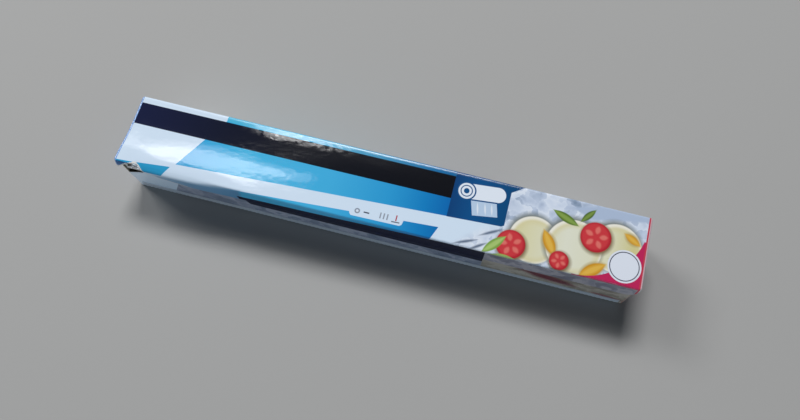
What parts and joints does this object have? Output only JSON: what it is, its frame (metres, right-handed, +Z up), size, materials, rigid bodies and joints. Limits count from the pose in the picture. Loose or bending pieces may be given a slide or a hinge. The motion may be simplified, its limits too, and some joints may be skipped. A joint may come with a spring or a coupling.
{
  "type": "kitchen foil roll in carton",
  "caption": "Kitchen foil wound on a paperboard tube, in a long printed folding carton with a hinged lid, a toothed cutting strip along the front and a torn corner.",
  "frame": {"origin": "middle of the underside of the closed carton, at the centre of its outline seen from above", "axes": "+X along the roll, +Y from the front with the lid's flap to the back with the fold, +Z up"},
  "size_m": [0.3032, 0.043, 0.0415],
  "materials": {
    "printed_card": "gloss varnish over print",
    "tinplate": "satin",
    "foil": "bright rolled",
    "core_board": "raw"
  },
  "bodies": {
    "carton": {"carton_tray": "printed_card", "cutter_strip": "tinplate", "foil_roll": "foil", "core_tube": "core_board"},
    "lid": {"carton_lid": "printed_card"}
  },
  "joints": [
    {"name": "lid_fold", "type": "hinge", "parent": "carton", "child": "lid", "pos_m": [0, 0.02154, 0.04062], "axis": [-1, 0, 0], "range_deg": [0, 180]}
  ]
}
